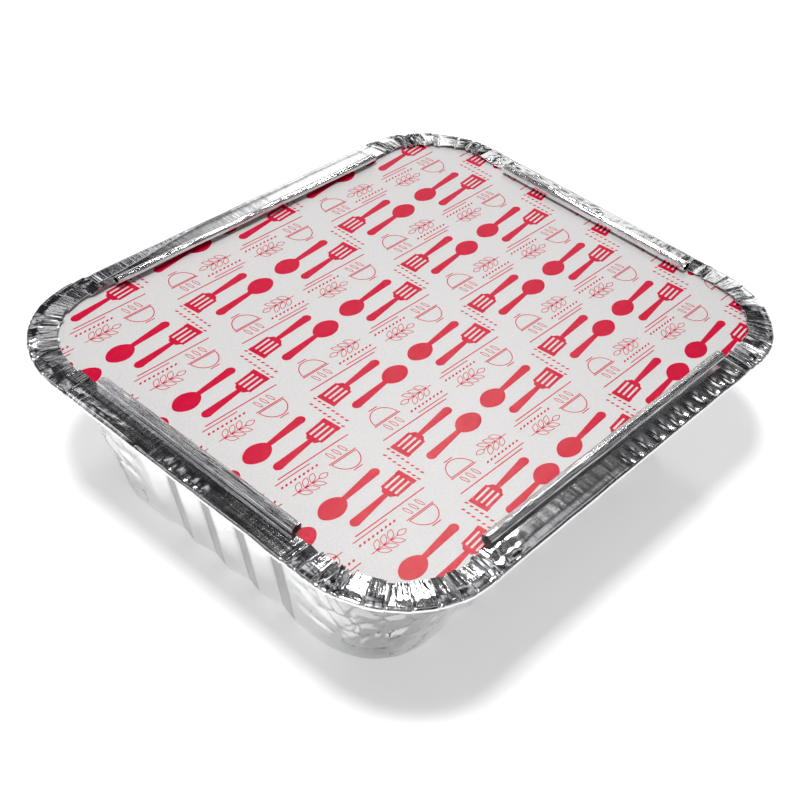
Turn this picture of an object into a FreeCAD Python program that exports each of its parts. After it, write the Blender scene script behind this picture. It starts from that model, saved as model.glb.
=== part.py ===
import FreeCAD, Part
import Sketcher
import math
import os

from FreeCAD import Placement, Rotation, Vector

# Foil food container: a pressed aluminium tray with fluted walls, closed by a card lid.
# The tray's flange is folded in over the lid: rolled into a curl along each straight side
# and gathered into pleats round each corner.
# Millimetres, +Z up, +X along the long side, origin at the centre of the base's underside.

SIZES = (
    ("rim_length", 185.6, "outside of the folded rim, along X"),
    ("rim_width", 150.0, "outside of the folded rim, along Y"),
    ("rim_corner", 31.0, "outside corner radius of the rim"),
    ("ledge_height", 49.75, "base to the underside of the ledge that carries the lid"),
    ("ledge_width", 8.3, "ledge, from the rim's outside to the wall"),
    ("base_length", 140.4, "base outline along X, before its edge is rounded"),
    ("base_width", 106.2, "base outline along Y"),
    ("base_corner", 19.8, "corner radius of the base outline"),
    ("base_edge", 4.0, "outside radius where the wall turns into the base"),
    ("foil", 0.3, "sheet thickness, a stand-in for foil of about 0.09"),
    ("flute_pitch", 12.8, "crest to crest along a wall"),
    ("flute_depth", 1.5, "valley below the crests"),
    ("flute_crest", 0.9, "flat left on each crest"),
    ("flute_top_gap", 5.0, "plain wall between the flutes and the ledge"),
    ("flute_foot", 4.2, "plain wall between the flutes and the base, round its edge"),
    ("flutes_on_long_wall", 7, "number of valleys"),
    ("flutes_on_short_wall", 4, "number of valleys"),
    ("card", 0.55, "lid board thickness"),
    ("card_play", 0.35, "free height between the lid and the folded foil"),
    ("card_edge_play", 0.25, "lid edge to the inside of the fold"),
    ("band_width", 8.3, "foil folded in over the lid, from the rim's outside"),
    ("curl_radius", 1.6, "outside radius of the rolled edge"),
    ("curl_inset", 9.0, "rim's outside to the middle of the roll"),
    ("curl_turn", 310.0, "degrees that the foil is rolled through"),
    ("curl_stop", 8.5, "the roll stops this far short of the rim's corner arc"),
    ("pleats", 8, "gathers round each corner"),
    ("pleat_lift", 1.0, "height of the tallest gather above the flat band"),
    ("pleat_reach", 0.7, "how far the gathers' tips vary in and out"),
)

doc = FreeCAD.newDocument("foil_container")
sheet = doc.addObject("Spreadsheet::Sheet", "Sizes")


def fill_sheet():
    for row, (alias, value, note) in enumerate(SIZES, start=1):
        sheet.set(f"A{row}", str(value))
        sheet.setAlias(f"A{row}", alias)
        sheet.set(f"B{row}", note)
    doc.recompute()


def size(alias):
    """The value of one cell of the sheet, for the shapes that are made in code."""
    return float(sheet.get(alias))


def bind(thing, **expressions):
    """Binds properties of a document object to expressions of the sheet's cells."""
    for path, expression in expressions.items():
        thing.setExpression(path.replace("__", "."), expression)
    return thing


def cells(expression):
    """An expression with each alias written the way the expression engine wants it."""
    aliases = sorted((alias for alias, _, _ in SIZES), key=len, reverse=True)
    words = expression.split(" ")
    return " ".join(f"Sizes.{word}" if word in aliases else word for word in words)


def plain_feature(name, shape):
    feature = doc.addObject("Part::Feature", name)
    feature.Shape = shape
    return feature


def outline_sketch(name, length, width, corner, height, body=None):
    """A rounded rectangle about the Z axis, its sizes bound to the sheet."""
    if body is None:
        sketch = doc.addObject("Sketcher::SketchObject", name)
    else:
        sketch = body.newObject("Sketcher::SketchObject", name)
        plane = next(f for f in body.Origin.OriginFeatures if f.Role == "XY_Plane")
        sketch.AttachmentSupport = [(plane, "")]
        sketch.MapMode = "FlatFace"
    half_x, half_y, r = 60.0, 40.0, 10.0
    up = Vector(0, 0, 1)
    corners = (
        (half_x - r, -half_y + r, -90),
        (half_x - r, half_y - r, 0),
        (-half_x + r, half_y - r, 90),
        (-half_x + r, -half_y + r, 180),
    )
    for x, y, start in corners:
        turn = math.radians(start)
        circle = Part.Circle(Vector(x, y, 0), up, r)
        sketch.addGeometry(Part.ArcOfCircle(circle, turn, turn + math.pi / 2), False)
    for k in range(4):
        begin = sketch.getPoint(k, 2)
        end = sketch.getPoint((k + 1) % 4, 1)
        sketch.addGeometry(Part.LineSegment(begin, end), False)
    for k in range(4):
        sketch.addConstraint(Sketcher.Constraint("Tangent", k, 2, 4 + k, 1))
        sketch.addConstraint(Sketcher.Constraint("Tangent", 4 + k, 2, (k + 1) % 4, 1))
    for k in range(1, 4):
        sketch.addConstraint(Sketcher.Constraint("Equal", 0, k))
    for k, direction in ((4, "Vertical"), (5, "Horizontal"), (6, "Vertical"), (7, "Horizontal")):
        sketch.addConstraint(Sketcher.Constraint(direction, k))
    sketch.addConstraint(Sketcher.Constraint("Symmetric", 0, 3, 2, 3, -1, 1))
    named = (
        ("across", Sketcher.Constraint("DistanceX", 6, 1, 4, 1, 2 * half_x), length),
        ("along", Sketcher.Constraint("DistanceY", 7, 1, 5, 1, 2 * half_y), width),
        ("corner", Sketcher.Constraint("Radius", 0, r), corner),
    )
    for label, constraint, expression in named:
        index = sketch.addConstraint(constraint)
        sketch.renameConstraint(index, label)
        sketch.setExpression(f"Constraints.{label}", cells(expression))
    place = "AttachmentOffset.Base.z" if body else "Placement.Base.z"
    sketch.setExpression(place, cells(height))
    return sketch


def wall_form(name, step, low, edge_radius):
    """The solid inside the wall's outer face, or inside its inner face, with the base edge rounded.

    step is how far the form lies inside the outer face, low is the height of its floor."""
    rise = f"( {low} ) / ledge_height"
    run_x = "( rim_length - 2 * ledge_width - base_length )"
    run_y = "( rim_width - 2 * ledge_width - base_width )"
    grow = "( rim_corner - ledge_width - base_corner )"
    top = "( ledge_height + foil ) / ledge_height"
    floor = outline_sketch(
        f"{name}_floor",
        f"base_length + {run_x} * {rise} - 2 * {step}",
        f"base_width + {run_y} * {rise} - 2 * {step}",
        f"base_corner + {grow} * {rise} - {step}",
        low,
    )
    mouth = outline_sketch(
        f"{name}_mouth",
        f"base_length + {run_x} * {top} - 2 * {step}",
        f"base_width + {run_y} * {top} - 2 * {step}",
        f"base_corner + {grow} * {top} - {step}",
        "ledge_height + foil",
    )
    loft = doc.addObject("Part::Loft", f"{name}_loft")
    loft.Sections = [floor, mouth]
    loft.Solid = True
    loft.Ruled = True
    doc.recompute()
    rounded = doc.addObject("Part::Fillet", f"{name}_rounded")
    rounded.Base = loft
    lowest = loft.Shape.BoundBox.ZMin
    rounded.Edges = [
        (number, edge_radius, edge_radius)
        for number, line in enumerate(loft.Shape.Edges, start=1)
        if line.BoundBox.ZMax < lowest + 1e-4
    ]
    doc.recompute()
    return rounded


def flute_comb(half_span, run, valleys, turn, sheet_step):
    """A sheared comb whose teeth press the flutes into one wall.

    It is drawn for the wall that faces +X, length along Y, and then turned about Z.
    sheet_step is 0 for the sheet's outer face, and the sheet's thickness for its inner face."""
    height = size("ledge_height")
    pitch, depth, crest = size("flute_pitch"), size("flute_depth"), size("flute_crest")
    clear = depth * crest / (pitch - crest)
    low = size("flute_foot") - sheet_step
    top = height - size("flute_top_gap") + sheet_step
    slope = run / height
    wall_x = half_span + slope * low - sheet_step
    far_x = wall_x + 4 * depth
    start = -valleys * pitch / 2
    points = [Vector(far_x, start, low), Vector(wall_x + clear, start, low)]
    for k in range(valleys):
        points.append(Vector(wall_x - depth, start + (k + 0.5) * pitch, low))
        points.append(Vector(wall_x + clear, start + (k + 1) * pitch, low))
    points.append(Vector(far_x, -start, low))
    points.append(points[0])
    comb = Part.Face(Part.makePolygon(points))
    solid = comb.extrude(Vector(slope * (top - low), 0, top - low))
    solid.rotate(Vector(0, 0, 0), Vector(0, 0, 1), turn)
    return solid


def flute_combs(name, sheet_step):
    """Four combs, one for each wall, as one tool."""
    base_x, base_y = size("base_length") / 2, size("base_width") / 2
    run_x = size("rim_length") / 2 - size("ledge_width") - base_x
    run_y = size("rim_width") / 2 - size("ledge_width") - base_y
    short, long = int(size("flutes_on_short_wall")), int(size("flutes_on_long_wall"))
    combs = []
    for turn in (0, 180):
        combs.append(flute_comb(base_x, run_x, short, turn, sheet_step))
        combs.append(flute_comb(base_y, run_y, long, turn + 90, sheet_step))
    return plain_feature(name, Part.makeCompound(combs))


def cut(name, base, tool):
    feature = doc.addObject("Part::Cut", name)
    feature.Base = base
    feature.Tool = tool
    return feature


def basin():
    """The tray's floor and fluted walls: the outer form less the inner one."""
    outer_form = wall_form("outer", "0", "0", size("base_edge"))
    inner_form = wall_form("inner", "foil", "foil", size("base_edge") - size("foil"))
    outer = cut("outer_fluted", outer_form, flute_combs("outer_combs", 0))
    inner = cut("inner_fluted", inner_form, flute_combs("inner_combs", size("foil")))
    return cut("basin", outer, inner)


def fold_radius():
    """Half the height of the hem: two foils, the card and its play."""
    return size("foil") + (size("card") + size("card_play")) / 2


def hem_wire(place, lift=0.0, reach=0.0):
    """The hem's closed section: ledge, outer fold, and the band that lies over the lid.

    place turns (inward from the rim's outside, up from the ledge's underside) into a point.
    The band's tip is raised by lift and moved inward by reach."""
    r, foil = fold_radius(), size("foil")
    heel = size("ledge_width") + 0.4 * foil
    tip, middle = size("band_width") + reach, 0.4 * size("band_width")
    top, under = 2 * r, 2 * r - foil
    inner = r - foil
    side = math.sqrt(0.5)

    def line(a, b):
        return Part.LineSegment(place(*a), place(*b)).toShape()

    def arc(a, b, c):
        return Part.Arc(place(*a), place(*b), place(*c)).toShape()

    edges = [
        line((heel, 0), (r, 0)),
        arc((r, 0), (r - r * side, r - r * side), (0, r)),
        arc((0, r), (r - r * side, r + r * side), (r, top)),
        line((r, top), (middle, top + 0.55 * lift)),
        line((middle, top + 0.55 * lift), (tip, top + lift)),
        line((tip, top + lift), (tip, under + lift)),
        line((tip, under + lift), (middle, under + 0.55 * lift)),
        line((middle, under + 0.55 * lift), (r, under)),
        arc((r, under), (r - inner * side, r + inner * side), (foil, r)),
        arc((foil, r), (r - inner * side, r - inner * side), (r, foil)),
        line((r, foil), (heel, foil)),
        line((heel, foil), (heel, 0)),
    ]
    return Part.Wire(edges)


def straight_hem(half_across, half_along, turn):
    """The hem along one straight side, drawn for the side that faces +X."""
    z = size("ledge_height")

    def place(inward, up):
        return Vector(half_across - inward, -half_along, z + up)

    solid = Part.Face(hem_wire(place)).extrude(Vector(0, 2 * half_along, 0))
    solid.rotate(Vector(0, 0, 0), Vector(0, 0, 1), turn)
    return solid


def gathered_hem(centre_x, centre_y, start, seed):
    """The hem round one corner: flat facets between radial fold lines, which rise and fall.

    Spacing, height and reach are uneven, as gathers in foil are, and differ with the seed."""
    z, radius = size("ledge_height"), size("rim_corner")
    steps = 2 * int(size("pleats"))
    sections = []
    for step in range(steps + 1):
        inside = 0 < step < steps
        shift = 0.22 * math.sin(3.7 * step + 1.9 * seed) if inside else 0
        turn = math.radians(start + 90.0 * (step + shift) / steps)
        out = Vector(math.cos(turn), math.sin(turn), 0)

        def place(inward, up, out=out):
            return Vector(centre_x, centre_y, z + up) + out * (radius - inward)

        height = 0.7 + 0.3 * math.sin(2.3 * step + seed) if step % 2 else 0
        reach = size("pleat_reach") * math.sin(1.7 * step + 2.1 * seed) if inside else 0
        sections.append(hem_wire(place, size("pleat_lift") * height, reach))
    return Part.makeLoft(sections, True, True)


def hems():
    """The folded rim all the way round, without its curls."""
    radius = size("rim_corner")
    half_x, half_y = size("rim_length") / 2, size("rim_width") / 2
    made = []
    for number, turn in enumerate((0, 180)):
        made.append(plain_feature(f"short_hem_{number}", straight_hem(half_x, half_y - radius, turn)))
        made.append(plain_feature(f"long_hem_{number}", straight_hem(half_y, half_x - radius, turn + 90)))
    centre_x, centre_y = half_x - radius, half_y - radius
    quarters = ((centre_x, centre_y, 0), (-centre_x, centre_y, 90),
                (-centre_x, -centre_y, 180), (centre_x, -centre_y, 270))
    for number, (x, y, start) in enumerate(quarters):
        made.append(plain_feature(f"gathered_hem_{number}", gathered_hem(x, y, start, number)))
    return made


def curl(name, half_across, half_along, turn):
    """The rolled edge of one straight side: a lip that carries on the band, and an open roll on it.

    Cylinders and a box bound to the sheet, drawn for the side that faces +X and then turned."""
    lip_z = "ledge_height + foil + card + card_play"
    far = f"( {half_along} - rim_corner - curl_stop )"
    lip = doc.addObject("Part::Box", f"{name}_lip")
    bind(
        lip,
        Length=cells("curl_inset - band_width"),
        Width=cells(f"2 * {far}"),
        Height=cells("foil"),
        Placement__Base__x=cells(f"{half_across} - curl_inset"),
        Placement__Base__y=cells(f"0 - {far}"),
        Placement__Base__z=cells(lip_z),
    )
    tubes = []
    for part, radius in (("outside", "curl_radius"), ("inside", "curl_radius - foil")):
        tube = doc.addObject("Part::Cylinder", f"{name}_{part}")
        bind(
            tube,
            Radius=cells(radius),
            Height=cells(f"2 * {far}"),
            Placement__Base__x=cells(f"{half_across} - curl_inset"),
            Placement__Base__y=cells(f"0 - {far}"),
            Placement__Base__z=cells(f"{lip_z} + curl_radius"),
        )
        tubes.append(tube)
    # The local X axis of the cylinder points down, where the roll leaves the band.
    turned = Rotation(Vector(0, 0, -1), Vector(-1, 0, 0), Vector(0, 1, 0), "ZXY")
    for tube in tubes:
        tube.Placement.Rotation = turned
    bind(tubes[0], Angle=cells("curl_turn"))
    roll = cut(f"{name}_roll", *tubes)
    both = doc.addObject("Part::MultiFuse", name)
    both.Shapes = [lip, roll]
    both.Placement = Placement(Vector(0, 0, 0), Rotation(Vector(0, 0, 1), turn))
    return both


def foil_tray():
    """The whole pressed and folded sheet as one solid."""
    pieces = [basin()] + hems()
    for number, turn in enumerate((0, 180)):
        pieces.append(curl(f"short_curl_{number}", "rim_length / 2", "rim_width / 2", turn))
        pieces.append(curl(f"long_curl_{number}", "rim_width / 2", "rim_length / 2", turn + 90))
    tray = doc.addObject("Part::MultiFuse", "tray")
    tray.Shapes = pieces
    tray.Label = "foil_tray"
    return tray


def card_lid():
    """The lid board, which lies on the ledge under the folded rim."""
    body = doc.addObject("PartDesign::Body", "lid")
    body.Label = "card_lid"
    fold = "( foil + ( card + card_play ) / 2 + card_edge_play )"
    sketch = outline_sketch(
        "lid_outline",
        f"rim_length - 2 * {fold}",
        f"rim_width - 2 * {fold}",
        f"rim_corner - {fold}",
        "ledge_height + foil",
        body,
    )
    pad = body.newObject("PartDesign::Pad", "lid_board")
    pad.Profile = sketch
    bind(pad, Length=cells("card"))
    return body


def check_and_export(parts):
    """Stops unless every object is sound, then writes one STEP file for each sub-part."""
    doc.recompute()
    for thing in doc.Objects:
        if "Invalid" in thing.State or "Error" in thing.State:
            raise RuntimeError(f"{thing.Label} failed: {thing.State}")
    os.makedirs("parts", exist_ok=True)
    for part in parts:
        shape = part.Shape
        if shape.isNull() or not shape.isValid():
            raise RuntimeError(f"{part.Label} is not a valid shape")
        if len(shape.Solids) != 1:
            raise RuntimeError(f"{part.Label} is {len(shape.Solids)} solids")
        shape.exportStep(f"parts/{part.Label}.step")
        box = shape.BoundBox
        print(part.Label, f"{shape.Volume:.0f} mm3,", f"{len(shape.Faces)} faces,",
              f"{box.XLength:.2f} x {box.YLength:.2f} x {box.ZLength:.2f}, from z {box.ZMin:.2f}")


fill_sheet()
check_and_export([foil_tray(), card_lid()])
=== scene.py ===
import math
import random

import bpy
from mathutils import Matrix, Vector, noise


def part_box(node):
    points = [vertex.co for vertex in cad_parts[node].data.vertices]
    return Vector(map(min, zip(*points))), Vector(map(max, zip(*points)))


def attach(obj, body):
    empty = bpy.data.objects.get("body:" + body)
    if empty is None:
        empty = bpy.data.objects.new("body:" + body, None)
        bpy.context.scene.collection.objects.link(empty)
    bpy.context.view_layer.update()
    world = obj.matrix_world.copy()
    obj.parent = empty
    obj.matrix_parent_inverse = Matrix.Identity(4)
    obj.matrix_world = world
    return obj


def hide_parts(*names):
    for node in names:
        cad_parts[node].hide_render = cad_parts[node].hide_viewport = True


# A foil food container with a printed card lid. The CAD lid stays and gets its card finish.
# The foil is thin creased sheet, so its CAD solid is replaced by modelled sheets of foil:
# the folded rim with its gathered corners, four rolled edges, and the fluted basin.
# Working lengths are millimetres, made metres when a mesh is placed.

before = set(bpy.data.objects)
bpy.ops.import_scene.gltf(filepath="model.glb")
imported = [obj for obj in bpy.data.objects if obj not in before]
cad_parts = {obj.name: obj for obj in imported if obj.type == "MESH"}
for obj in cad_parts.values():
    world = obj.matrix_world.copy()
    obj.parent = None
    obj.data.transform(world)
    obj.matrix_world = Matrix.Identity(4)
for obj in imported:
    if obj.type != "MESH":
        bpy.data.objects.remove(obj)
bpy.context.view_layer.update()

MM = 0.001

# The rim's outside, and the wall's outline where it meets the ledge and where it meets the base.
RIM = (92.8, 75.0, 31.0)
WALL_TOP = (84.5, 66.7, 22.7)
WALL_FOOT = (70.1, 53.1, 19.8)
LEDGE_Z = 49.75
FOLD_RADIUS = 0.75
BAND_Z = LEDGE_Z + 2 * FOLD_RADIUS
BAND_WIDTH = 8.3
CARD_TOP_Z = 50.6

CURL_RADIUS = 1.6
CURL_INSET = 9.0
CURL_STOP = 8.5
FULL_ROLL = 405

FLUTE_PITCH = 12.8
FLUTE_DEPTH = 1.5
FLUTE_TOP_Z = 44.75
BASE_EDGE = 4.0

FOIL = 0.16
CURL_FOIL = 0.11
INK_FILM = 0.02
CREASE_ANGLE = math.radians(40)

# The rim and the wall run round eight sides: four straights, named for where they face when
# the long side is seen from the front, and the corner that follows each of them.
RIGHT, BACK, LEFT, FRONT = 0, 2, 4, 6
CORNERS = (1, 3, 5, 7)


# Working with objects

def deselect():
    bpy.ops.object.select_all(action="DESELECT")


def take(piece):
    """Makes piece the only selected object, and the active one."""
    deselect()
    piece.select_set(True)
    bpy.context.view_layer.objects.active = piece


def join(pieces, name, step=0.0):
    """Joins the pieces into the first of them, each a step higher than the one before."""
    for k, piece in enumerate(pieces):
        piece.data.transform(Matrix.Translation((0, 0, k * step)))
    take(pieces[0])
    for piece in pieces[1:]:
        piece.select_set(True)
    bpy.ops.object.join()
    pieces[0].name = pieces[0].data.name = name
    return pieces[0]


def apply_modifier(piece, kind, **values):
    take(piece)
    modifier = piece.modifiers.new(kind.lower(), kind)
    for key, value in values.items():
        setattr(modifier, key, value)
    bpy.ops.object.modifier_apply(modifier=modifier.name)


def sheet_of_foil(name, columns, rows, place, closed):
    """A grid whose vertices are laid by place(column, row) in millimetres.

    A closed sheet's last column meets its first, and the seam is merged."""
    deselect()
    bpy.ops.mesh.primitive_grid_add(x_subdivisions=columns, y_subdivisions=rows, size=1)
    piece = bpy.context.object
    piece.name = piece.data.name = name
    for vertex in piece.data.vertices:
        column = round((vertex.co.x + 0.5) * columns)
        row = round((vertex.co.y + 0.5) * rows)
        vertex.co = Vector(place(column, row)) * MM
    if closed:
        take(piece)
        bpy.ops.object.mode_set(mode="EDIT")
        bpy.ops.mesh.select_all(action="SELECT")
        bpy.ops.mesh.remove_doubles(threshold=1e-6)
        bpy.ops.object.mode_set(mode="OBJECT")
    return piece


def finish_foil(piece, thickness, material):
    """Gives a sheet its thickness, behind the face it was laid by, and crisp creases."""
    apply_modifier(piece, "SOLIDIFY", thickness=thickness * MM, offset=-1)
    take(piece)
    bpy.ops.object.shade_smooth_by_angle(angle=CREASE_ANGLE)
    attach(piece, "root")
    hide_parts("foil_tray")
    piece.data.materials.clear()
    piece.data.materials.append(material)


# Directions, curves and noise

def direction(azimuth, elevation=0.0):
    """A vector of length 1, its azimuth counted in degrees from +X."""
    turn, lift = math.radians(azimuth), math.radians(elevation)
    level = math.cos(lift)
    return Vector((math.cos(turn) * level, math.sin(turn) * level, math.sin(lift)))


def blend(a, b, share):
    return a + (b - a) * share


def ease(value):
    """0 below 0, 1 above 1, smooth between."""
    value = min(max(value, 0.0), 1.0)
    return value * value * (3 - 2 * value)


def zigzag(value):
    """A triangle wave between -1 and 1."""
    return 4 * abs(value - math.floor(value + 0.5)) - 1


def waver(x, y, z, wave):
    """Smooth noise between about -1 and 1 with bumps a wave apart."""
    return noise.noise(Vector((x, y, z)) / wave)


# Each set of straight creases: its angle, its spacing against the wave, its share of the height.
CREASE_SETS = ((0.4, 1.0, 0.4), (1.5, 0.73, 0.3), (2.5, 0.55, 0.2), (3.0, 0.31, 0.1))


def crumple(x, y, wave):
    """Crossing straight creases with flat facets between them, about -1 to 1."""
    total = 0.0
    for angle, step, share in CREASE_SETS:
        along = (x * math.cos(angle) + y * math.sin(angle)) / (wave * step)
        total += share * zigzag(along + 0.8 * waver(x, y, angle, wave * 2.2))
    return total


FACET = 9.5
FOLD_WIDTH = 0.21


def fold_line(x, y, z):
    """1 on sharp folds that wander between flat facets, 0 beside them.

    A fold's width is a share of the facet's."""
    wander = Vector((waver(x, y, z, 11.0), waver(y, z, x, 11.0), waver(z, x, y, 11.0)))
    nearest, second = noise.voronoi(Vector((x, y, z)) / FACET + 0.5 * wander)[0][:2]
    return max(0.0, 1 - (second - nearest) / FOLD_WIDTH)


def faces_x(side):
    """Whether a straight side faces +X or -X, and so runs along Y."""
    return side in (RIGHT, LEFT)


def outline_point(side, share, half_x, half_y, radius):
    """A point of a rounded rectangle about the Z axis, at a share of the way along a side."""
    quarter = side // 2
    turn = math.radians(90 * quarter)
    run_x, run_y = half_x - radius, half_y - radius
    if side not in CORNERS:
        across, along = (half_x, run_y) if faces_x(side) else (half_y, run_x)
        along *= 2 * share - 1
        return (
            across * math.cos(turn) - along * math.sin(turn),
            across * math.sin(turn) + along * math.cos(turn),
        )
    sign_x = 1 if quarter in (0, 3) else -1
    sign_y = 1 if quarter in (0, 1) else -1
    turn += math.radians(90 * share)
    return sign_x * run_x + radius * math.cos(turn), sign_y * run_y + radius * math.sin(turn)


# The folded rim. Distances round it follow a line whose corners have this radius.

MIDLINE = 24.0
SIDE_LENGTHS = [
    2 * (RIM[1] - RIM[2]), MIDLINE * math.pi / 2,
    2 * (RIM[0] - RIM[2]), MIDLINE * math.pi / 2,
] * 2
SIDE_STARTS = [sum(SIDE_LENGTHS[:k]) for k in range(8)]
RING_LENGTH = sum(SIDE_LENGTHS)


def ring_place(distance):
    """Which side a distance round the rim falls on, and its share of that side."""
    distance %= RING_LENGTH
    side = max(k for k in range(8) if SIDE_STARTS[k] <= distance + 1e-9)
    return side, (distance - SIDE_STARTS[side]) / SIDE_LENGTHS[side]


GATHER_OVERRUN = 7.0
PLEAT_RISE = 0.3


def gathers(side, rng):
    """The creases of the pleats that gather the foil round one corner.

    Each is (distance round the rim, height, lean, reach, knee): how high the foil stands at
    its free edge, how far the crease leans over there, how far it reaches over the card, and
    how much of the height it has near the fold. A pleat is a steep rise and a top that slopes
    back; narrow pleats crowd together between broad flat ones."""
    begin = SIDE_STARTS[side] - GATHER_OVERRUN
    end = SIDE_STARTS[side] + SIDE_LENGTHS[side] + GATHER_OVERRUN
    towards_long_side = 1 if side in (1, 5) else -1
    creases = []
    distance = begin
    while distance < end - 1:
        fade = ease((distance - begin + 1) / 5) * ease((end - distance) / 5)
        crowded = waver(distance, side, 0, 8.0) > 0.02
        width = rng.uniform(0.6, 1.5) if crowded else rng.uniform(2.4, 5.0)
        high = rng.uniform(0.55, 1.5) * fade
        low = high * rng.uniform(0.15, 0.8)
        if rng.random() < 0.4:
            high, low = low, high
        lean = towards_long_side * rng.uniform(-0.1, 0.6) * fade
        reach = rng.uniform(-0.5, 0.6) * fade
        knee = rng.uniform(0.55, 0.85)
        creases.append((distance, rng.uniform(-0.3, 0.0) * fade, 0.0, reach * 0.5, knee))
        distance += PLEAT_RISE
        creases.append((distance, high, lean, reach, knee))
        distance += width
        creases.append((distance, low, lean * 0.5, reach * rng.uniform(0.4, 1.0), knee))
        distance += PLEAT_RISE
    return creases


LONGEST_PLEAT = 8
PLEAT_STEP = 0.38
PLAIN_STEP = 0.85


def rim_stations():
    """All stations round the rim: the creases, and plain ones along the straights."""
    rng = random.Random(11)
    knots = []
    for side in CORNERS:
        knots += gathers(side, rng)
    knots.sort()
    stations = []
    for k, knot in enumerate(knots):
        after = knots[(k + 1) % len(knots)]
        gap = (after[0] - knot[0]) % RING_LENGTH
        steps = max(2, round(gap / PLEAT_STEP)) if gap < LONGEST_PLEAT else round(gap / PLAIN_STEP)
        for step in range(steps):
            share = step / steps
            mixed = [blend(a, b, share) for a, b in zip(knot[1:], after[1:])]
            stations.append((knot[0] + gap * share, *mixed))
    return stations


BAND_ROWS, FOLD_ROWS, LEDGE_ROWS = 18, 9, 4
BACK_LIFT = 0.85

# The dents pressed into the band: where each is along its side and in from the edge. Then their
# depth, half length and half width.
FRONT_DENTS = [
    (-2 + 4.55 * k + 0.7 * math.sin(5.1 * k), 3.1 + 0.7 * math.sin(3.3 * k)) for k in range(13)
]
FRONT_DENT = (0.36, 1.1, 2.1)
LEFT_DENTS = [(y, 2.6) for y in (5.0, 0.5, -4.5, -8.0)]
LEFT_DENT = (0.3, 1.2, 1.5)


def dent(along, inward, size):
    """How deep an oval dent is at a distance from its middle, along its side and inward."""
    deep, length, width = size
    return deep * math.exp(-((along / length) ** 2) - (inward / width) ** 2)


def back_lift(x):
    """How far the band and its curl stand up off the card along the back side."""
    return BACK_LIFT * ease((x + 66) / 14) * ease((66 - x) / 14)


def band_relief(side, x, y, inward):
    """Height that dents, knocks and slack give to the band on the straight sides."""
    relief = 0.05 * waver(x, y, 3.0, 12.0) * ease(inward / 2)
    if side in CORNERS:
        return relief
    along, half_length = (y, RIM[1]) if faces_x(side) else (x, RIM[0])
    end = half_length - RIM[2] - abs(along)
    if side == FRONT:
        for where, depth in FRONT_DENTS:
            relief -= dent(x - where, inward - depth, FRONT_DENT)
        relief += 0.24 * crumple(x, y, 5.0) * ease((-42 - x) / 8)
        relief += 0.25 * inward / BAND_WIDTH * ease(end / 8)
    if side == LEFT:
        knock = ease((y - 8) / 12) * ease((44 - y) / 8) * ease((5.0 - inward) / 4)
        relief += knock * (0.46 + 0.14 * crumple(x, y, 3.2))
        for where, depth in LEFT_DENTS:
            relief -= dent(y - where, inward - depth, LEFT_DENT)
        relief += 0.38 * inward / BAND_WIDTH * ease(end / 8)
    if side == BACK:
        crease = blend(5.0, 0.9, ease((x + 58) / 50))
        relief += back_lift(x) * max(0.0, inward - crease) / (BAND_WIDTH - crease)
    if side == RIGHT:
        relief += 0.3 * crumple(x, y, 8.0) * ease((y + 10) / 18) * ease(inward / 3)
        relief += 0.08 * crumple(x, y, 4.0) * ease(inward / 3)
    return relief


# How much of a crease's height is left at the fold, and how far out its knee lies.
FOLD_SHARE = 0.22
KNEE_PLACE = 0.4

# How far the ledge runs on under the wall's top, and how far in from the edge the fold is pinched.
LEDGE_OVERLAP = 0.12
PINCH_REACH = 3.5


def band_rise(out, knee):
    """The share of a crease's height, out being 0 at the fold and 1 at the free edge."""
    if out < KNEE_PLACE:
        return blend(FOLD_SHARE, knee, ease(out / KNEE_PLACE))
    return blend(knee, 1, (out - KNEE_PLACE) / (1 - KNEE_PLACE))


def rim_piece():
    """The band over the lid, the outer fold and the ledge, from the wall round to the free edge."""
    stations = rim_stations()
    rows = BAND_ROWS + FOLD_ROWS + LEDGE_ROWS

    def place(column, number):
        row = rows - number
        distance, height, lean, reach, knee = stations[column % len(stations)]
        rise = 0.0
        if row <= BAND_ROWS:
            width = BAND_WIDTH + reach
            inward = blend(width, FOLD_RADIUS, row / BAND_ROWS)
            rise = band_rise((inward - FOLD_RADIUS) / (width - FOLD_RADIUS), knee)
            z = BAND_Z + height * rise
        elif row <= BAND_ROWS + FOLD_ROWS:
            turn = math.pi * (row - BAND_ROWS) / FOLD_ROWS
            inward = FOLD_RADIUS * (1 - math.sin(turn))
            rise = FOLD_SHARE * (0.5 + 0.5 * math.cos(turn))
            z = LEDGE_Z + FOLD_RADIUS * (1 + math.cos(turn)) + height * rise
        else:
            share = (row - BAND_ROWS - FOLD_ROWS) / LEDGE_ROWS
            inward = blend(FOLD_RADIUS, BAND_WIDTH + LEDGE_OVERLAP, share)
            z = LEDGE_Z
        side, share = ring_place(distance + lean * rise)
        x, y = outline_point(side, share, RIM[0] - inward, RIM[1] - inward, RIM[2] - inward)
        if row <= BAND_ROWS:
            z += band_relief(side, x, y, inward)
            if side in CORNERS:
                z += 0.02 * crumple(x, y, 2.4) * ease(inward / 3)
        if row < rows - LEDGE_ROWS:
            near_edge = ease((PINCH_REACH - inward) / PINCH_REACH)
            pinch = (0.13 + 0.13 * waver(x, y, 9.0, 3.4 if side in CORNERS else 8.0)) * near_edge
            pinch += 0.28 * max(0.0, 0.8 - height) * near_edge * ease(abs(height) * 20)
            x -= pinch * x / RIM[0]
            y -= pinch * y / RIM[1]
        return x, y, z

    piece = sheet_of_foil("foil_rim", len(stations), rows, place, closed=True)
    finish_foil(piece, FOIL, rim_foil)


# The rolled edges

LIP_ROWS, ROLL_ROWS = 3, 34
CURL_STEP = 0.8
LIP_INSET = 7.4
CURL_TAPER = 0.2
CURL_WIDENING = 1.3
CURL_SINK = 0.02
CURL_PLAY = 0.19


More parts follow.
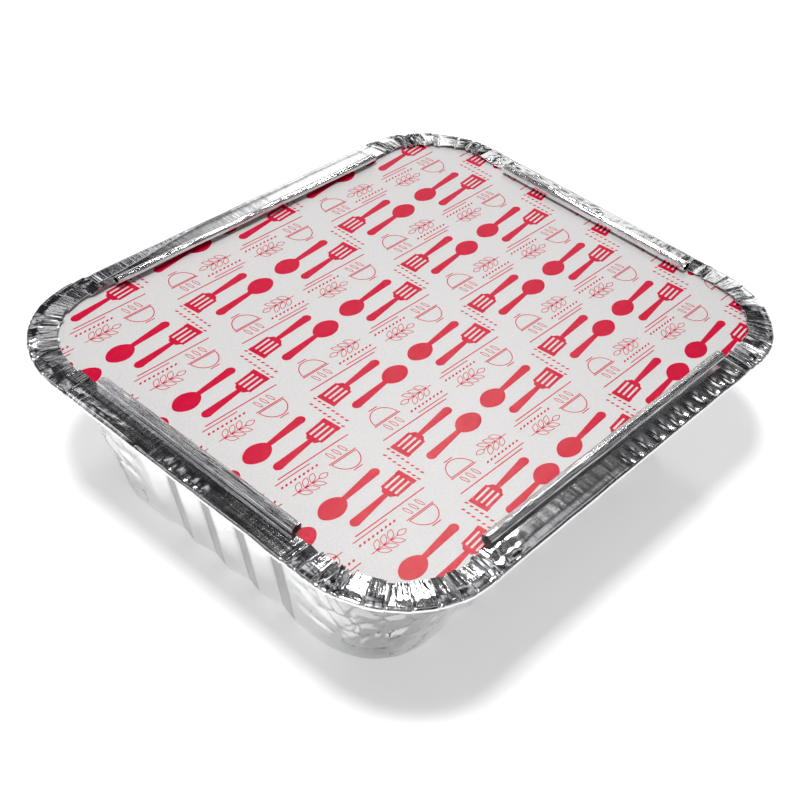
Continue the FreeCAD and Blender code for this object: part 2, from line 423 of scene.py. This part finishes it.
def curl_piece(name, side, first, last, seed, turned=FULL_ROLL, radius_at_foot=CURL_RADIUS):
    """The foil's edge rolled up and outwards along one straight side, open at both ends.

    turned is the degrees it is rolled through. The roll tapers inwards and lies wider than high,
    its foot sunk a little into the band, and keeps some play under its full size for its facets."""
    half_across = RIM[0] if faces_x(side) else RIM[1]
    columns = round((last - first) / CURL_STEP)
    turn = math.radians(45 * side)
    roll = radius_at_foot - CURL_PLAY

    def place(column, row):
        along = blend(first, last, column / columns)
        end = min(along - first, last - along)
        foot = BAND_Z - CURL_SINK + (back_lift(-along) if side == BACK else 0)
        if row <= LIP_ROWS:
            inward = blend(LIP_INSET, CURL_INSET, row / LIP_ROWS)
            z = foot
        else:
            share = (row - LIP_ROWS) / ROLL_ROWS
            angle = math.radians(turned * share)
            facets = 0.05 * math.cos(6 * angle + 1.3 * waver(along, seed, 0, 30.0)) - 0.03
            radius = roll * (1 - CURL_TAPER * share * turned / FULL_ROLL) + facets
            radius += 0.05 * waver(along, seed, 3 * share, 7.0) * ease(share * 6)
            radius -= 0.1 * ease(1.0 - end) * ease(share * 3) * (0.5 + 0.5 * math.sin(7 * share))
            inward = CURL_INSET + CURL_WIDENING * radius * math.sin(angle)
            z = max(foot + roll - radius * math.cos(angle), foot)
        inward += 0.16 * waver(along, seed, 5.0, 22.0)
        across = half_across - inward
        x = across * math.cos(turn) - along * math.sin(turn)
        y = across * math.sin(turn) + along * math.cos(turn)
        return x, y, z

    piece = sheet_of_foil(name, columns, LIP_ROWS + ROLL_ROWS, place, closed=False)
    finish_foil(piece, CURL_FOIL, curl_foil)


# The basin

CORNER_STEPS = 60
FLUTE_STEPS = 12
WALL_ROWS = 56
WALL_STEP = 0.8
EDGE_ROWS = 9


def flute_count(side):
    return 4 if faces_x(side) else 7


def fluted_half(side):
    """Half the length of a straight side that is fluted."""
    return flute_count(side) * FLUTE_PITCH / 2


def wall_stations():
    """Stations round the wall: (side, share of the side, distance from its middle or None).

    Flutes keep one pitch from top to bottom, so theirs are set by distance."""
    stations = []
    for side in range(8):
        if side in CORNERS:
            stations += [(side, k / CORNER_STEPS, None) for k in range(CORNER_STEPS)]
            continue
        span = fluted_half(side)
        edge_steps = 10 if faces_x(side) else 8
        stations += [(side, -1 + k / edge_steps, None) for k in range(edge_steps)]
        steps = flute_count(side) * FLUTE_STEPS
        stations += [(side, 0, blend(-span, span, k / steps)) for k in range(steps)]
        stations += [(side, 1 + k / edge_steps, None) for k in range(edge_steps)]
    return stations


def basin_rows():
    """The wall's profile from under the ledge to the middle of the base: (z, inset, along base)."""
    rows = [(LEDGE_Z + 0.05, -1.5, 0), (LEDGE_Z + 0.03, -0.7, 0), (LEDGE_Z - 0.25, -0.15, 0)]
    rows += [(LEDGE_Z - WALL_STEP - WALL_STEP * k, 0, 0) for k in range(WALL_ROWS)]
    for k in range(1, EDGE_ROWS + 1):
        turn = math.radians(90 * k / EDGE_ROWS)
        rows.append((BASE_EDGE * (1 - math.sin(turn)), BASE_EDGE * (1 - math.cos(turn)) * 0.75, 0))
    rows += [(0.0, 3.0 + 2.2 * k, 0) for k in range(1, 8)]
    rows += [(0.0, 18.4, share) for share in (0.25, 0.5, 0.75, 1.0)]
    return rows


KNOCKS_A_CORNER = 34
KNOCK_REACH = 10
CALM_HEIGHT = 6


def wall_knocks():
    """Small dents round the wall's corners: (side, along the arc, height, length, width, turn, depth)."""
    rng = random.Random(4)
    knocks = []
    for side in CORNERS:
        for _ in range(KNOCKS_A_CORNER):
            middle, height, length = rng.uniform(1, 32), rng.uniform(6, 46), rng.uniform(2.0, KNOCK_REACH)
            width, turn, deep = rng.uniform(0.8, 1.7), rng.uniform(0, math.pi), rng.uniform(-0.5, 0.7)
            knocks.append((side, middle, height, length, width, turn, deep))
    return knocks


def knock_depth(knocks, side, along, z):
    """How deep the dents are together at a place on a corner of the wall."""
    depth = 0.0
    for corner, middle, height, length, width, turn, deep in knocks:
        if corner != side or abs(along - middle) > KNOCK_REACH or abs(z - height) > KNOCK_REACH:
            continue
        across = (along - middle) * math.cos(turn) + (z - height) * math.sin(turn)
        beside = (z - height) * math.cos(turn) - (along - middle) * math.sin(turn)
        depth += deep * max(0.0, 1 - math.hypot(across / length, beside / width))
    return depth


def flute_press(side, distance, z, inset):
    """How far the flutes press the wall in. They fade out at the ledge and on the base's edge."""
    start = 0.5 * (flute_count(side) % 2)
    press = FLUTE_DEPTH * (0.5 + 0.5 * zigzag(distance / FLUTE_PITCH + start))
    return press * ease((FLUTE_TOP_Z - z) / 1.2) * ease((3.2 - inset) / 2.4)


def wall_relief(x, y, z, cornered):
    """Slack and creases of the wall, cornered being 0 between the flutes and 1 at a corner."""
    relief = 0.16 * waver(x, y, z, 11.0)
    relief += blend(0.03, 0.4, cornered) * crumple(x + y, z, 10.0)
    relief += 0.2 * cornered * crumple(x + y, z, 5.5)
    if cornered > 0:
        relief -= 0.62 * ease(cornered) * fold_line(x, y, z)
    return relief


def basin_piece():
    """The fluted wall, the rounded edge of the base, and the base."""
    stations = wall_stations()
    rows = basin_rows()
    knocks = wall_knocks()

    def place(column, row):
        side, share, distance = stations[column % len(stations)]
        z, inset, shrink = rows[len(rows) - 1 - row]
        rise = z / LEDGE_Z
        half_x, half_y, radius = (blend(a, b, rise) - inset for a, b in zip(WALL_FOOT, WALL_TOP))
        radius = max(radius, 0.5)
        press = 0.0
        cornered = 1.0
        if side not in CORNERS:
            flat = (half_y if faces_x(side) else half_x) - radius
            span = fluted_half(side)
            if distance is None:
                plain = flat - span
                along = -flat + (1 + share) * plain if share < 0 else span + (share - 1) * plain
                cornered = ease((abs(along) - span) / plain)
                share = 0.5 + along / (2 * flat)
            else:
                cornered = 0.0
                share = 0.5 + distance / (2 * flat)
                press = flute_press(side, distance, z, inset)
        x, y = outline_point(side, share, half_x, half_y, radius)
        quarter = math.radians(90 * (side // 2))
        x -= press * math.cos(quarter)
        y -= press * math.sin(quarter)
        if z > 0:
            soft = ease(z / CALM_HEIGHT) * ease((LEDGE_Z - 1.5 - z) / CALM_HEIGHT)
            relief = wall_relief(x, y, z, cornered) - 0.2
            if side in CORNERS:
                arc = radius * math.pi / 2
                along = share * arc
                relief -= ease(along / 5) * ease((arc - along) / 5) * knock_depth(knocks, side, along, z)
            size = math.hypot(x, y)
            x += soft * relief * x / size
            y += soft * relief * y / size
        return x * (1 - shrink), y * (1 - shrink), z

    piece = sheet_of_foil("foil_basin", len(stations), len(rows) - 1, place, closed=True)
    finish_foil(piece, FOIL, wall_foil)


# Shader groups

def node_group(name, inputs, outputs):
    """An empty shader group with named sockets: inputs is (name, kind, value) for each."""
    group = bpy.data.node_groups.new(name, "ShaderNodeTree")
    for label, kind, value in inputs:
        socket = group.interface.new_socket(label, in_out="INPUT", socket_type=kind)
        if value is not None:
            socket.default_value = value
    for label, kind in outputs:
        group.interface.new_socket(label, in_out="OUTPUT", socket_type=kind)
    return group, group.nodes.new("NodeGroupInput"), group.nodes.new("NodeGroupOutput")


def add(tree, kind, **values):
    """Adds a node; values set its properties, or its input sockets by name or number."""
    node = tree.nodes.new(kind)
    for key, value in values.items():
        if key.startswith("in_"):
            place = key[3:]
            node.inputs[int(place) if place.isdigit() else place.replace("_", " ")].default_value = value
        else:
            setattr(node, key, value)
    return node


def speckle_group():
    """Noise of a stated size, stretched along Y by Stretch, mapped to the range Low to High."""
    group, given, result = node_group(
        "speckle",
        [
            ("Vector", "NodeSocketVector", None),
            ("Size", "NodeSocketFloat", 1000.0),
            ("Stretch", "NodeSocketFloat", 1.0),
            ("Detail", "NodeSocketFloat", 4.0),
            ("Low", "NodeSocketFloat", 0.0),
            ("High", "NodeSocketFloat", 1.0),
        ],
        [("Value", "NodeSocketFloat")],
    )
    links = group.links
    squeeze = add(group, "ShaderNodeMath", operation="DIVIDE", in_0=1.0)
    factors = add(group, "ShaderNodeCombineXYZ", in_X=1.0, in_Z=1.0)
    stretched = add(group, "ShaderNodeVectorMath", operation="MULTIPLY")
    grain = add(group, "ShaderNodeTexNoise", in_Roughness=0.6)
    spread = add(group, "ShaderNodeMapRange")
    spread.inputs["From Min"].default_value = 0.3
    spread.inputs["From Max"].default_value = 0.7
    links.new(given.outputs["Stretch"], squeeze.inputs[1])
    links.new(squeeze.outputs[0], factors.inputs["Y"])
    links.new(given.outputs["Vector"], stretched.inputs[0])
    links.new(factors.outputs[0], stretched.inputs[1])
    links.new(stretched.outputs[0], grain.inputs["Vector"])
    links.new(given.outputs["Size"], grain.inputs["Scale"])
    links.new(given.outputs["Detail"], grain.inputs["Detail"])
    links.new(grain.outputs["Fac"], spread.inputs["Value"])
    links.new(given.outputs["Low"], spread.inputs["To Min"])
    links.new(given.outputs["High"], spread.inputs["To Max"])
    links.new(spread.outputs["Result"], result.inputs["Value"])
    return group


speckle = speckle_group()


def speckled(tree, vector, **values):
    node = tree.nodes.new("ShaderNodeGroup")
    node.node_tree = speckle
    for key, value in values.items():
        node.inputs[key].default_value = value
    tree.links.new(vector, node.inputs["Vector"])
    return node.outputs["Value"]


def new_material(name):
    material = bpy.data.materials.new(name)
    material.use_nodes = True
    tree = material.node_tree
    shader = tree.nodes["Principled BSDF"]
    place = tree.nodes.new("ShaderNodeTexCoord").outputs["Object"]
    return material, tree, shader, place


def mix_colours(tree, share, low, high):
    mix = add(tree, "ShaderNodeMix", data_type="RGBA")
    mix.inputs["A"].default_value = (*low, 1)
    mix.inputs["B"].default_value = (*high, 1)
    tree.links.new(share, mix.inputs["Factor"])
    return mix.outputs["Result"]


def add_bump(tree, shader, height, strength, distance, under=None):
    bump = add(tree, "ShaderNodeBump", in_Strength=strength, in_Distance=distance)
    tree.links.new(height, bump.inputs["Height"])
    if under is not None:
        tree.links.new(under, bump.inputs["Normal"])
    tree.links.new(bump.outputs[0], shader.inputs["Normal"])
    return bump.outputs[0]


def make_foil_material(name, smoothest, roughest, crinkled, wrinkles):
    """Bright rolled aluminium: fine rolling streaks, small crinkles, and wrinkles that follow the sheet.

    wrinkles is (how many along the sheet, their length against their width, their strength)."""
    material, tree, shader, place = new_material(name)
    shader.inputs["Metallic"].default_value = 1.0
    tone = speckled(tree, place, Size=70.0)
    colour = mix_colours(tree, tone, (0.80, 0.805, 0.81), (0.93, 0.93, 0.935))
    tree.links.new(colour, shader.inputs["Base Color"])
    gloss = speckled(tree, place, Size=900.0, Stretch=14.0, Low=smoothest, High=roughest)
    tree.links.new(gloss, shader.inputs["Roughness"])
    crinkle = speckled(tree, place, Size=230.0)
    rolling = speckled(tree, place, Size=2600.0, Stretch=22.0)
    under = add_bump(tree, shader, crinkle, crinkled, 0.0004)
    under = add_bump(tree, shader, rolling, 0.1, 0.00012, under)
    along_sheet = tree.nodes.new("ShaderNodeTexCoord").outputs["UV"]
    count, length, strength = wrinkles
    fine_wrinkles = speckled(tree, along_sheet, Size=count, Stretch=length, Detail=1.5)
    add_bump(tree, shader, fine_wrinkles, strength, 0.0003, under)
    return material


def mapped(tree, value, from_low, from_high, low=0.0, high=1.0):
    """A value's range from_low to from_high laid onto low to high, and held there beyond it."""
    spread = add(tree, "ShaderNodeMapRange")
    limits = {"From Min": from_low, "From Max": from_high, "To Min": low, "To Max": high}
    for label, number in limits.items():
        spread.inputs[label].default_value = number
    tree.links.new(value, spread.inputs["Value"])
    return spread.outputs["Result"]


def combined(tree, operation, *values):
    """One or two values put through a maths node."""
    maths = add(tree, "ShaderNodeMath", operation=operation)
    for value, socket in zip(values, maths.inputs):
        tree.links.new(value, socket)
    return maths.outputs[0]


# Where the painted shade fades, in metres from the middle along X and along Y: the flutes' painted
# shade out, and the corners' painted shade in. Then what is left of the colour under each.
FLUTES_END = ((0.0455, 0.0480), (0.0262, 0.0287))
CORNER_BEGINS = ((0.048, 0.066), (0.032, 0.050))
SHADED_FLANK_COLOUR, SHADED_CORNER_COLOUR = 0.55, 0.62


def paint_flute_shade(material):
    """Painted shade on the basin's sheet: one flank of each flute and the corners darkened, standing in
    for the shaded floor they reflect.
    """
    tree = material.node_tree
    shader = tree.nodes["Principled BSDF"]
    coordinates = tree.nodes.new("ShaderNodeTexCoord")
    facing = add(tree, "ShaderNodeSeparateXYZ")
    where = add(tree, "ShaderNodeSeparateXYZ")
    tree.links.new(coordinates.outputs["Normal"], facing.inputs[0])
    tree.links.new(coordinates.outputs["Object"], where.inputs[0])
    away = [combined(tree, "ABSOLUTE", where.outputs[axis]) for axis in "XY"]
    beside_flutes = [mapped(tree, off, *ends, 1, 0) for off, ends in zip(away, FLUTES_END)]
    fluted = combined(tree, "MAXIMUM", *beside_flutes)
    aslant = combined(tree, "MULTIPLY", facing.outputs["X"], facing.outputs["Y"])
    shaded_flank = combined(tree, "MULTIPLY", fluted, mapped(tree, aslant, -0.12, -0.06, 1, 0))
    past_flutes = [mapped(tree, off, *ends) for off, ends in zip(away, CORNER_BEGINS)]
    corner = combined(tree, "MULTIPLY", *past_flutes)
    colour = shader.inputs["Base Color"].links[0].from_socket
    # Painted shade: the base colour is darkened on one flank of each flute and on the corners.
    for share, shade_factor in ((shaded_flank, SHADED_FLANK_COLOUR), (corner, SHADED_CORNER_COLOUR)):
        shaded_colour = add(tree, "ShaderNodeMix", data_type="RGBA", blend_type="MULTIPLY")
        shaded_colour.inputs["B"].default_value = (shade_factor, shade_factor, shade_factor, 1)
        tree.links.new(share, shaded_colour.inputs["Factor"])
        tree.links.new(colour, shaded_colour.inputs["A"])
        colour = shaded_colour.outputs["Result"]
    tree.links.new(colour, shader.inputs["Base Color"])


def make_card_material(name, mottle, darkest, lightest, smoothest, roughest):
    """Coated board, or ink on it: a colour with a fine mottle, and the board's fine tooth."""
    material, tree, shader, place = new_material(name)
    tone = speckled(tree, place, Size=mottle)
    tree.links.new(mix_colours(tree, tone, darkest, lightest), shader.inputs["Base Color"])
    gloss = speckled(tree, place, Size=1100.0, Low=smoothest, High=roughest)
    tree.links.new(gloss, shader.inputs["Roughness"])
    add_bump(tree, shader, speckled(tree, place, Size=2200.0), 0.25, 0.0001)
    return material


def make_ink_material():
    """Crimson ink on the card, a little uneven in cover, with a faint bronze sheen."""
    material = make_card_material(
        "crimson_ink", 900.0, (0.57, 0.002, 0.035), (0.65, 0.006, 0.05), 0.1, 0.18
    )
    shader = material.node_tree.nodes["Principled BSDF"]
    shader.inputs["Specular IOR Level"].default_value = 0.22
    shader.inputs["Specular Tint"].default_value = (1.0, 0.8, 0.55, 1)
    return material


rim_foil = make_foil_material("folded_foil", 0.09, 0.18, 0.025, (430.0, 400.0, 0.12))
curl_foil = make_foil_material("rolled_foil", 0.08, 0.17, 0.03, (5.0, 0.16, 0.3))
wall_foil = make_foil_material("pressed_foil", 0.12, 0.2, 0.1, (700.0, 300.0, 0.06))
# Painted shade on the wall's flute flanks and corners.
paint_flute_shade(wall_foil)
card_material = make_card_material(
    "coated_card", 1500.0, (0.63, 0.615, 0.61), (0.715, 0.70, 0.695), 0.27, 0.4
)
ink_material = make_ink_material()


# The print: a generic kitchen pattern in one ink, in millimetres round each motif's middle

def placed(piece, size_x, size_y, x, y, turn):
    piece.scale = (size_x, size_y, 1)
    piece.rotation_euler = (0, 0, math.radians(turn))
    piece.location = (x, y, 0)
    take(piece)
    bpy.ops.object.transform_apply(location=True, rotation=True, scale=True)
    return piece


def disc(size_x, size_y, x, y, turn=0, point=0.0, corners=28):
    """A filled ellipse; point draws its ends out to tips, as on a leaf."""
    deselect()
    bpy.ops.mesh.primitive_circle_add(vertices=corners, radius=0.5, fill_type="NGON")
    piece = bpy.context.object
    for vertex in piece.data.vertices:
        vertex.co.y *= 1 - point * (2 * abs(vertex.co.x)) ** 2
    return placed(piece, size_x, size_y, x, y, turn)


def outlined(piece, line):
    """Keeps only a line of the stated width inside a flat shape's edge."""
    take(piece)
    bpy.ops.object.mode_set(mode="EDIT")
    bpy.ops.mesh.select_all(action="SELECT")
    bpy.ops.mesh.inset(thickness=line, depth=0)
    bpy.ops.mesh.delete(type="FACE")
    bpy.ops.object.mode_set(mode="OBJECT")
    return piece


def bar(length, width, x, y, turn=0, taper=1.0):
    """A straight bar; taper is its far end's width against its near end's."""
    deselect()
    bpy.ops.mesh.primitive_plane_add(size=1)
    piece = bpy.context.object
    for vertex in piece.data.vertices:
        if vertex.co.x > 0:
            vertex.co.y *= taper
    return placed(piece, length, width, x, y, turn)


def spoon():
    return [
        disc(9.5, 6.0, -8.2, 0, point=0.15),
        bar(14.0, 1.3, 1.5, 0, taper=1.9),
        disc(3.6, 2.6, 8.6, 0),
    ]


def turner():
    """A slotted kitchen turner."""
    head = [bar(7.5, 0.95, -8.5, y, taper=0.86) for y in (-2.2, -0.73, 0.73, 2.2)]
    return head + [
        bar(1.6, 5.6, -11.9, 0),
        bar(1.8, 5.0, -4.3, 0, taper=0.5),
        bar(12.6, 1.3, 2.5, 0, taper=1.9),
        disc(3.6, 2.6, 8.9, 0),
    ]


def sprig():
    """A leafy sprig drawn in line."""
    parts = [bar(9.5, 0.22, 0, 0)]
    for x in (-3.0, -0.6, 1.8):
        for way in (1, -1):
            parts.append(outlined(disc(3.6, 1.7, x + 1.5, way * 1.25, way * 38, 0.55, 18), 0.2))
    parts.append(outlined(disc(3.4, 1.7, 5.9, 0, 0, 0.55, 18), 0.2))
    return parts


def bowl():
    """A steaming bowl drawn in line."""
    dish = disc(9.0, 9.0, 0, 0, corners=32)
    take(dish)
    bpy.ops.object.mode_set(mode="EDIT")
    bpy.ops.mesh.select_all(action="SELECT")
    bpy.ops.mesh.bisect(plane_co=(0, 0, 0), plane_no=(0, 1, 0), clear_outer=True)
    bpy.ops.object.mode_set(mode="OBJECT")
    parts = [outlined(dish, 0.28), bar(3.2, 0.3, 0, -4.95), bar(9.8, 0.28, 0, 0.3)]
    parts += [outlined(disc(1.1, 3.0, x, 2.4, 12, 0.0, 14), 0.2) for x in (-2.2, 0, 2.2)]
    return parts


def turned(parts, turn, x, y):
    """Joins parts into one motif and sets it at its place in the repeat."""
    motif = join(parts, "motif", step=0.002)
    return placed(motif, 1, 1, x, y, turn)


CELL = (31.0, 25.5)
PRINT_SHIFT = 4


def repeat_unit():
    """One repeat: a spoon and a turner, fine rules, rows of grains, a sprig and a bowl."""
    pieces = [
        turned(spoon(), 6, -1.0, 8.2),
        turned(turner(), 186, 0.6, 1.6),
        turned(sprig(), 0, -8.5, -8.9),
        turned(bowl(), 0, 6.0, -7.6),
        bar(25.0, 0.34, 0.5, -2.6),
        bar(12.0, 0.3, -8.0, -3.7),
    ]
    pieces += [disc(1.15, 0.62, -13.2 + 1.5 * k, -5.3, 30, 0.4, 8) for k in range(9)]
    pieces += [disc(0.62, 1.15, 14.3, 11.5 - 1.6 * k, 30, 0.0, 8) for k in range(8)]
    return join(pieces, "repeat_unit")


PRINT_MARGIN = 0.3
PRINT_CORNER = 29.7


def clip_to_card(piece):
    """Cuts away whatever of the print runs past the card's outline."""
    _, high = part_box("card_lid")
    half_x, half_y = high.x / MM - PRINT_MARGIN, high.y / MM - PRINT_MARGIN
    planes = [((half_x, 0), 0), ((0, half_y), 90), ((-half_x, 0), 180), ((0, -half_y), 270)]
    for quarter in range(4):
        sign_x = 1 if quarter in (0, 3) else -1
        sign_y = 1 if quarter in (0, 1) else -1
        for step in (1, 2, 3, 4):
            turn = 90 * quarter + 18 * step
            out = direction(turn) * PRINT_CORNER
            x = sign_x * (half_x - PRINT_CORNER) + out.x
            y = sign_y * (half_y - PRINT_CORNER) + out.y
            planes.append(((x, y), turn))
    take(piece)
    bpy.ops.object.mode_set(mode="EDIT")
    for (x, y), turn in planes:
        bpy.ops.mesh.select_all(action="SELECT")
        bpy.ops.mesh.bisect(plane_co=(x, y, 0), plane_no=direction(turn), clear_outer=True)
    bpy.ops.object.mode_set(mode="OBJECT")


def print_piece():
    """The print as a film of ink on the card: the repeat laid in a half-drop."""
    unit = repeat_unit()
    copies = []
    for column in range(-3, 4):
        for row in range(-4, 4):
            copy = unit.copy()
            copy.data = unit.data.copy()
            bpy.context.collection.objects.link(copy)
            drop, turn = (0.75, 180) if column % 2 else (0.25, 0)
            y = (row + drop) * CELL[1] + PRINT_SHIFT
            copies.append(placed(copy, 1, 1, column * CELL[0], y, turn))
    bpy.data.objects.remove(unit)
    piece = join(copies, "lid_print")
    clip_to_card(piece)
    piece.data.transform(Matrix.Scale(MM, 4))
    piece.data.transform(Matrix.Translation((0, 0, CARD_TOP_Z * MM)))
    apply_modifier(piece, "SOLIDIFY", thickness=INK_FILM * MM, offset=1)
    piece.data.materials.append(ink_material)
    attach(piece, "root")


# Making the object

rim_piece()
short = RIM[1] - RIM[2] - CURL_STOP
long = RIM[0] - RIM[2] - CURL_STOP
curl_piece("foil_curl_right", RIGHT, -short, short, 2.0)
curl_piece("foil_curl_back", BACK, -long, long, 5.0, radius_at_foot=CURL_RADIUS - BACK_LIFT / 2)
curl_piece("foil_curl_left", LEFT, -short, short - 2.0, 8.0, turned=300)
curl_piece("foil_curl_front", FRONT, -long, long, 11.0, turned=262)
basin_piece()

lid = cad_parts["card_lid"]
for slot in lid.material_slots:
    slot.material = card_material
print_piece()


# The studio

FLOOR_TONE = 0.82
FLOOR_GLOW = 0.38


def floor():
    """A pale floor, lifted to white where the camera or a reflection sees it."""
    deselect()
    bpy.ops.mesh.primitive_plane_add(size=24, location=(0, 0, -0.0002))
    ground = bpy.context.object
    ground.name = "floor"
    material, tree, shader, _ = new_material("pale_floor")
    shader.inputs["Base Color"].default_value = (FLOOR_TONE, FLOOR_TONE, FLOOR_TONE, 1)
    shader.inputs["Roughness"].default_value = 0.9
    shader.inputs["Emission Color"].default_value = (1, 1, 1, 1)
    rays = tree.nodes.new("ShaderNodeLightPath")
    seen = rays.outputs["Is Camera Ray"]
    for label in ("Is Glossy Ray", "Is Transmission Ray"):
        seen = combined(tree, "MAXIMUM", seen, rays.outputs[label])
    lift = add(tree, "ShaderNodeMath", operation="MULTIPLY", in_1=FLOOR_GLOW)
    tree.links.new(seen, lift.inputs[0])
    tree.links.new(lift.outputs[0], shader.inputs["Emission Strength"])
    ground.data.materials.append(material)


def softbox(name, azimuth, elevation, distance, size_x, size_y, power):
    """An area light that looks at the container from a direction."""
    way = direction(azimuth, elevation)
    place = way * distance + Vector((0, 0, 0.03))
    lamp = bpy.data.lights.new(name, "AREA")
    lamp.shape = "RECTANGLE"
    lamp.size, lamp.size_y = size_x, size_y
    lamp.energy = power
    holder = bpy.data.objects.new(name, lamp)
    bpy.context.collection.objects.link(holder)
    facing = way.to_track_quat("Z", "Y").to_matrix().to_4x4()
    holder.matrix_world = Matrix.Translation(place) @ facing


# Each dark curtain: its azimuth, elevation and half width in degrees, and the share of light it leaves.
DARK_CURTAINS = ((40.0, 47.0, 9.0, 0.2), (22.0, 43.0, 8.0, 0.12))
CURTAIN_FADE = 3

# Where in the noise the dark patches end and the pale ones begin, and their colours.
PATCHES = ((0.54, (0.012, 0.012, 0.016, 1)), (0.59, (0.8, 0.8, 0.81, 1)))


def room():
    """A quiet grey room for the foil to reflect, in dark and pale patches, with two dark curtains."""
    world = bpy.data.worlds.new("room")
    bpy.context.scene.world = world
    world.use_nodes = True
    tree = world.node_tree
    way = tree.nodes.new("ShaderNodeTexCoord").outputs["Generated"]
    patches = add(tree, "ShaderNodeTexNoise", in_Scale=3.4, in_Detail=2.0)
    ramp = tree.nodes.new("ShaderNodeValToRGB")
    for element, (position, colour) in zip(ramp.color_ramp.elements, PATCHES):
        element.position, element.color = position, colour
    tree.links.new(way, patches.inputs["Vector"])
    tree.links.new(patches.outputs["Fac"], ramp.inputs["Fac"])
    tree.links.new(ramp.outputs["Color"], tree.nodes["Background"].inputs["Color"])
    dimmed = []
    for azimuth, elevation, half_width, share_left in DARK_CURTAINS:
        nearness = add(tree, "ShaderNodeVectorMath", operation="DOT_PRODUCT")
        nearness.inputs[1].default_value = direction(azimuth, elevation)
        tree.links.new(way, nearness.inputs[0])
        begins = math.cos(math.radians(half_width + CURTAIN_FADE))
        full = math.cos(math.radians(half_width))
        dimmed.append(mapped(tree, nearness.outputs["Value"], begins, full, 1.0, share_left))
    both = combined(tree, "MULTIPLY", *dimmed)
    tree.links.new(both, tree.nodes["Background"].inputs["Strength"])


# Each lamp: azimuth and elevation in degrees, distance, size across and up, power.
LAMPS = {
    "overhead": (186, 71, 1.2, 0.17, 0.17, 9.7),
    "far_window": (36, 27, 1.3, 0.62, 0.36, 0.72),
    "card_sheen": (31, 50, 1.3, 0.16, 0.16, 2.6),
    "right_window": (13, 17, 1.3, 0.36, 0.26, 0.4),
    "left_window": (136, 12, 1.4, 0.35, 0.6, 0.6),
    "low_fill": (192, 22, 1.4, 0.8, 0.4, 1.4),
}

floor()
room()
for lamp_name, lamp_values in LAMPS.items():
    softbox(lamp_name, *lamp_values)


# The camera: where it stands from its target, how far, how it leans, and its lens

CAMERA_AZIMUTH = -144.73
CAMERA_ELEVATION = 39.97
CAMERA_DISTANCE = 0.37063
CAMERA_ROLL = math.radians(9.2)
TARGET = Vector((-0.02869, -0.01755, 0.0505))
LENS, SENSOR = 63.86, 36.0


def camera():
    """At the photograph's viewing angle: turned round the container, tipped down, rolled a little."""
    back = direction(CAMERA_AZIMUTH, CAMERA_ELEVATION)
    right = (-back).cross(Vector((0, 0, 1))).normalized()
    up = right.cross(-back)
    across = right * math.cos(CAMERA_ROLL) + up * math.sin(CAMERA_ROLL)
    upright = up * math.cos(CAMERA_ROLL) - right * math.sin(CAMERA_ROLL)
    data = bpy.data.cameras.new("camera")
    data.sensor_width = SENSOR
    data.lens = LENS
    data.clip_start = 0.01
    holder = bpy.data.objects.new("camera", data)
    bpy.context.collection.objects.link(holder)
    axes = Matrix((across, upright, back)).transposed().to_4x4()
    holder.matrix_world = Matrix.Translation(TARGET + back * CAMERA_DISTANCE) @ axes
    bpy.context.scene.camera = holder


camera()
bpy.context.scene.view_settings.view_transform = "Standard"
